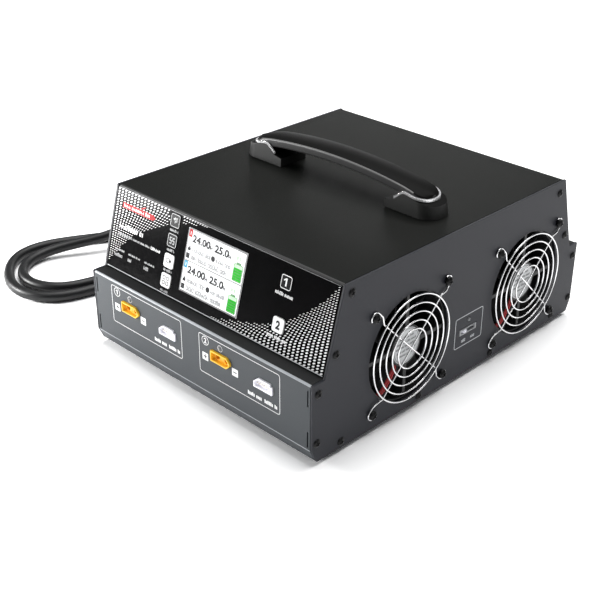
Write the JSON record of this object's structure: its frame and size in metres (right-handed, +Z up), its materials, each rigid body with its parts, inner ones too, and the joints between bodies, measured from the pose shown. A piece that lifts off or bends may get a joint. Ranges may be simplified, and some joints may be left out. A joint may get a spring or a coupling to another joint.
{
  "type": "balance battery charger",
  "caption": "Bench battery charger: bent-sheet case with slanted display panel, front output and balance sockets, side exhaust fans, carrying handle, mains lead.",
  "frame": {"origin": "on the table, under the middle of the charger without its lead", "axes": "+X to the right of a person facing the display, +Y from the display side to the rear, +Z up"},
  "size_m": [0.3886, 0.4115, 0.1433],
  "materials": {
    "case_paint": "satin black powder coat on bent steel sheet",
    "overlay_film": "gloss printed polycarbonate film",
    "display_glass": "colour display behind a clear window",
    "key_print": "white printed key cap",
    "board_green": "green circuit board",
    "black_plastic": "black moulded plastic",
    "guard_chrome": "bright plated steel wire",
    "black_screw": "black oxide steel",
    "output_yellow": "yellow nylon",
    "pin_brass": "gold-plated brass",
    "socket_white": "off-white nylon",
    "light_lens": "clear moulded plastic",
    "grip_plastic": "black moulded plastic, semi-gloss",
    "trim_chrome": "bright chrome plate",
    "foot_rubber": "black rubber",
    "cord_rubber": "black rubber sheath, satin",
    "sink_aluminium": "extruded, bare",
    "winding_tape": "yellow winding tape",
    "can_sleeve": "dark printed sleeve"
  },
  "bodies": {
    "case": {"balance_socket_1": "socket_white", "balance_socket_2": "socket_white", "base_tray": "case_paint", "cable_gland": "black_plastic", "channel_light_1": "light_lens", "channel_light_2": "light_lens", "control_board": "board_green", "display_module": "display_glass", "fan_frame_front": "black_plastic", "fan_frame_rear": "black_plastic", "fan_guard_front": "guard_chrome", "fan_guard_rear": "guard_chrome", "filter_capacitor": "can_sleeve", "guard_screw_front_1": "black_screw", "guard_screw_front_2": "black_screw", "guard_screw_front_3": "black_screw", "guard_screw_front_4": "black_screw", "guard_screw_rear_1": "black_screw", "guard_screw_rear_2": "black_screw", "guard_screw_rear_3": "black_screw", "guard_screw_rear_4": "black_screw", "handle_foot_left": "grip_plastic", "handle_foot_right": "grip_plastic", "handle_grip": "grip_plastic", "handle_trim_left": "trim_chrome", "handle_trim_right": "trim_chrome", "heat_sink_front": "sink_aluminium", "heat_sink_rear": "sink_aluminium", "output_pin_negative_1": "pin_brass", "output_pin_negative_2": "pin_brass", "output_pin_positive_1": "pin_brass", "output_pin_positive_2": "pin_brass", "output_socket_1": "output_yellow", "output_socket_2": "output_yellow", "panel_film": "overlay_film", "power_board": "board_green", "power_cord": "cord_rubber", "power_plug": "cord_rubber", "power_switch_housing": "black_plastic", "rubber_foot_front_left": "foot_rubber", "rubber_foot_front_right": "foot_rubber", "rubber_foot_rear_left": "foot_rubber", "rubber_foot_rear_right": "foot_rubber", "selector_housing": "light_lens", "side_light": "light_lens", "side_panel_left": "case_paint", "side_panel_right": "case_paint", "socket_board": "board_green", "top_cover": "case_paint", "transformer": "winding_tape"},
    "channel_key_1": {"channel_key_1": "key_print"},
    "channel_key_2": {"channel_key_2": "key_print"},
    "rotor_front": {"fan_rotor_front": "black_plastic"},
    "rotor_rear": {"fan_rotor_rear": "black_plastic"},
    "menu_key_1": {"menu_key_1": "key_print"},
    "menu_key_2": {"menu_key_2": "key_print"},
    "menu_key_3": {"menu_key_3": "key_print"},
    "menu_key_4": {"menu_key_4": "key_print"},
    "rocker": {"power_switch_rocker": "black_plastic"},
    "selector": {"selector_slider": "socket_white"}
  },
  "joints": [
    {"name": "fan_spin_front", "type": "hinge", "parent": "case", "child": "rotor_front", "pos_m": [0.0954, -0.0529, 0.0507], "axis": [1, 0, 0], "continuous": true},
    {"name": "fan_spin_rear", "type": "hinge", "parent": "case", "child": "rotor_rear", "pos_m": [0.0954, 0.0759, 0.0507], "axis": [1, 0, 0], "continuous": true},
    {"name": "power_rocker_tilt", "type": "hinge", "parent": "case", "child": "rocker", "pos_m": [0.055, 0.143, 0.034], "axis": [0, 0, -1], "range_deg": [0, 14]},
    {"name": "selector_slide", "type": "slide", "parent": "case", "child": "selector", "axis": [0, 1, 0], "range_m": [0, 0.007]},
    {"name": "menu_key_1_press", "type": "slide", "parent": "case", "child": "menu_key_1", "axis": [0, 0.963, -0.2695], "range_m": [0, 0.0005], "stiffness_N_per_m": 1500},
    {"name": "menu_key_2_press", "type": "slide", "parent": "case", "child": "menu_key_2", "axis": [0, 0.963, -0.2695], "range_m": [0, 0.0005], "stiffness_N_per_m": 1500},
    {"name": "menu_key_3_press", "type": "slide", "parent": "case", "child": "menu_key_3", "axis": [0, 0.963, -0.2695], "range_m": [0, 0.0005], "stiffness_N_per_m": 1500},
    {"name": "menu_key_4_press", "type": "slide", "parent": "case", "child": "menu_key_4", "axis": [0, 0.963, -0.2695], "range_m": [0, 0.0005], "stiffness_N_per_m": 1500},
    {"name": "channel_key_1_press", "type": "slide", "parent": "case", "child": "channel_key_1", "axis": [0, 0.963, -0.2695], "range_m": [0, 0.0005], "stiffness_N_per_m": 1500},
    {"name": "channel_key_2_press", "type": "slide", "parent": "case", "child": "channel_key_2", "axis": [0, 0.963, -0.2695], "range_m": [0, 0.0005], "stiffness_N_per_m": 1500}
  ]
}
